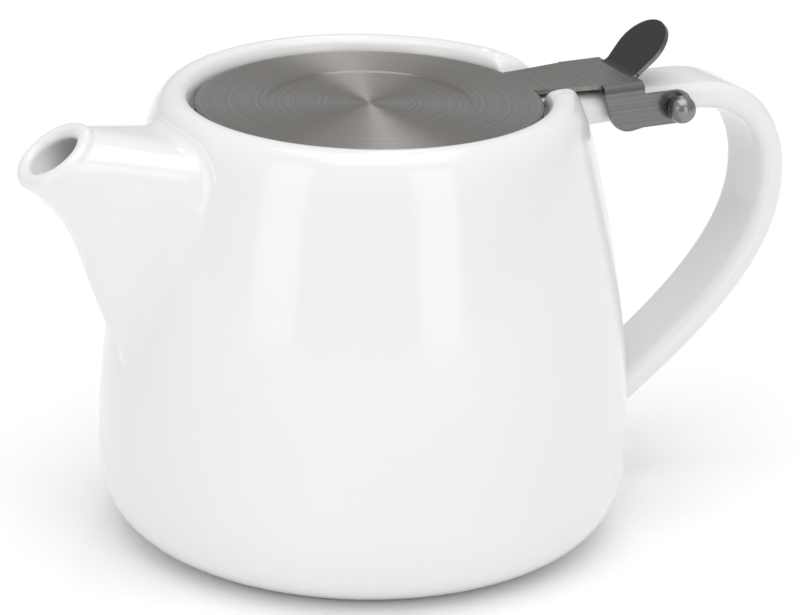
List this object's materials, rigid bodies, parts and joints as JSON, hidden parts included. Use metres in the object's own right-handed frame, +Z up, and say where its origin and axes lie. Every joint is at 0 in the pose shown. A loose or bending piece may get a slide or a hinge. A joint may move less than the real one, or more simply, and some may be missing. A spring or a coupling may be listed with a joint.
{
  "type": "teapot infuser",
  "caption": "Porcelain teapot with a hinged flat steel lid, a thumb tab and a lift-out steel infuser basket.",
  "frame": {"origin": "centre of the foot ring, on the pot's axis, on the plane the pot stands on", "axes": "+X from the pot's axis to the handle, -X to the spout, +Z up along the pot's axis, +Y along the hinge pin"},
  "size_m": [0.1792, 0.115, 0.1051],
  "materials": {
    "glazed_porcelain": "white glossy glaze",
    "lid_steel": "stainless steel with fine turned lines",
    "pin_steel": "polished stainless steel",
    "bush_nylon": "natural nylon",
    "basket_steel": "perforated stainless sheet, satin"
  },
  "bodies": {
    "pot": {"pot_body": "glazed_porcelain", "spout": "glazed_porcelain", "handle": "glazed_porcelain", "hinge_bush_near": "bush_nylon", "hinge_bush_far": "bush_nylon"},
    "lid": {"lid_plate": "lid_steel", "hinge_pin": "pin_steel", "pin_nut": "pin_steel"},
    "infuser": {"basket_rim": "basket_steel", "basket_wall": "basket_steel", "basket_floor": "basket_steel"}
  },
  "joints": [
    {"name": "lid_hinge", "type": "hinge", "parent": "pot", "child": "lid", "pos_m": [0.0692, 0, 0.0888], "axis": [0, 1, 0], "range_deg": [0, 72]},
    {"name": "infuser_lift", "type": "slide", "parent": "pot", "child": "infuser", "axis": [0, 0, 1], "range_m": [0, 0.038]}
  ],
  "couplings": [
    {"joint": "infuser_lift", "follows": "lid_hinge", "m_per_rad": 0.03}
  ]
}
